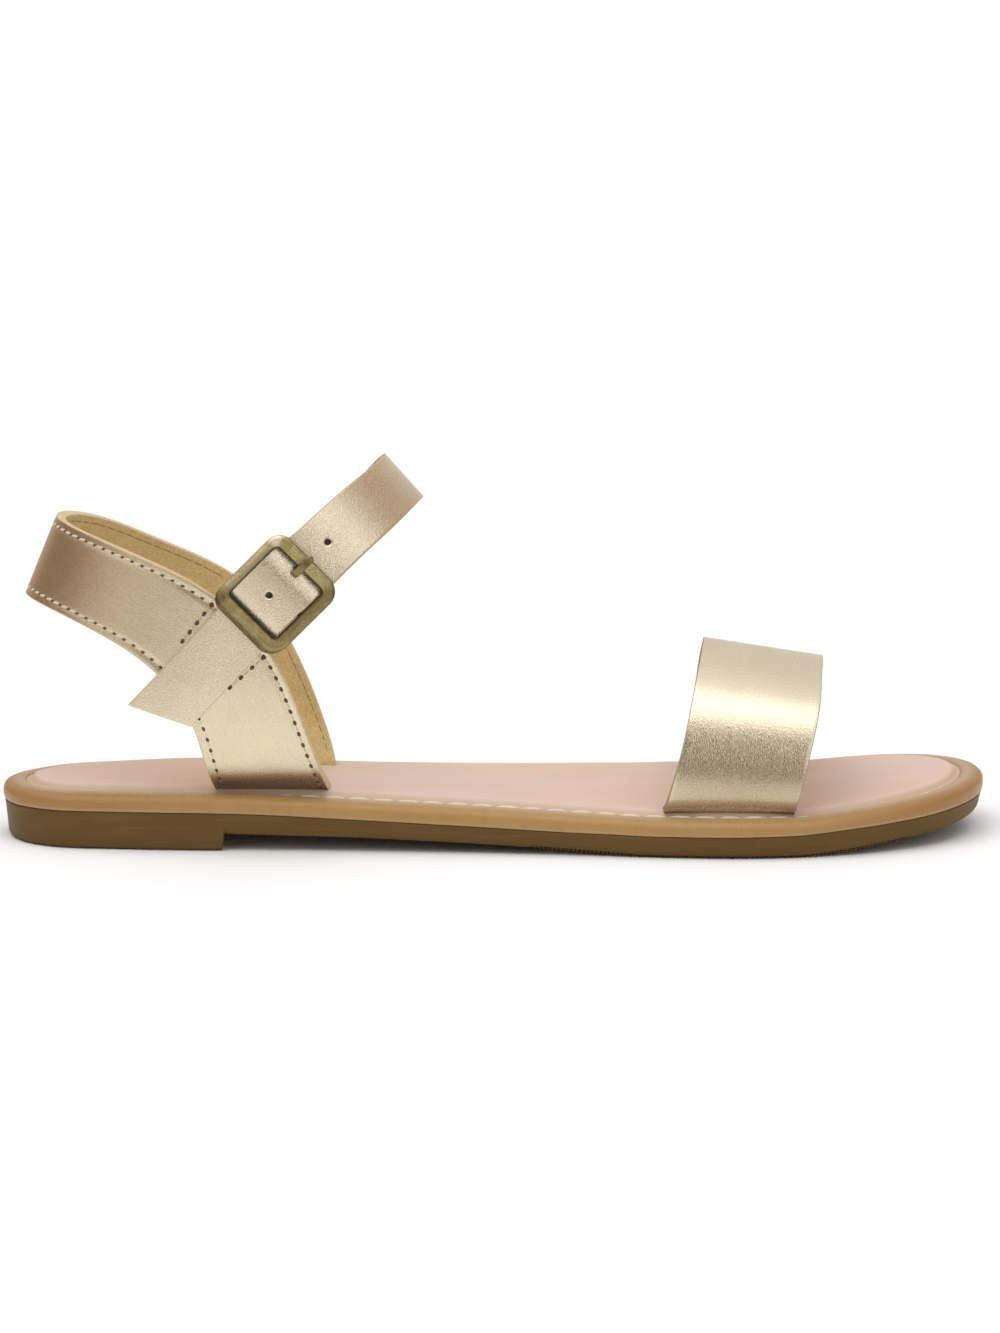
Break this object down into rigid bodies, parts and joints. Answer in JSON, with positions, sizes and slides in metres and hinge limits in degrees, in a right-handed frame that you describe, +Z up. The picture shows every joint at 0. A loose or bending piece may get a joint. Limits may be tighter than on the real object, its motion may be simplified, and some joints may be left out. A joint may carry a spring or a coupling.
{
  "type": "ankle strap sandal",
  "caption": "Flat ankle strap sandal for a right foot: gold leather straps, square aged brass buckle, nude footbed in a tan rim, low brown rubber sole.",
  "frame": {"origin": "On the ground plane under the middle of the overall length and width", "axes": "X from heel to toe, Y from the outer side with the buckle to the inner side, Z up from the ground"},
  "size_m": [0.25, 0.0863, 0.0965],
  "materials": {
    "brown_rubber": "satin moulded rubber",
    "tan_rim": "smooth wrapped edge with a stitched groove",
    "nude_sock": "matt padded sock",
    "gold_leather": "metallic coated leather with fine grain",
    "aged_brass": "aged, softly polished"
  },
  "bodies": {
    "root": {"outsole": "brown_rubber", "midsole": "tan_rim", "insole": "nude_sock", "toe_strap": "gold_leather", "heel_and_ankle_strap": "gold_leather", "buckle_tab": "gold_leather", "buckle_frame": "aged_brass", "buckle_prong": "aged_brass"}
  },
  "joints": []
}
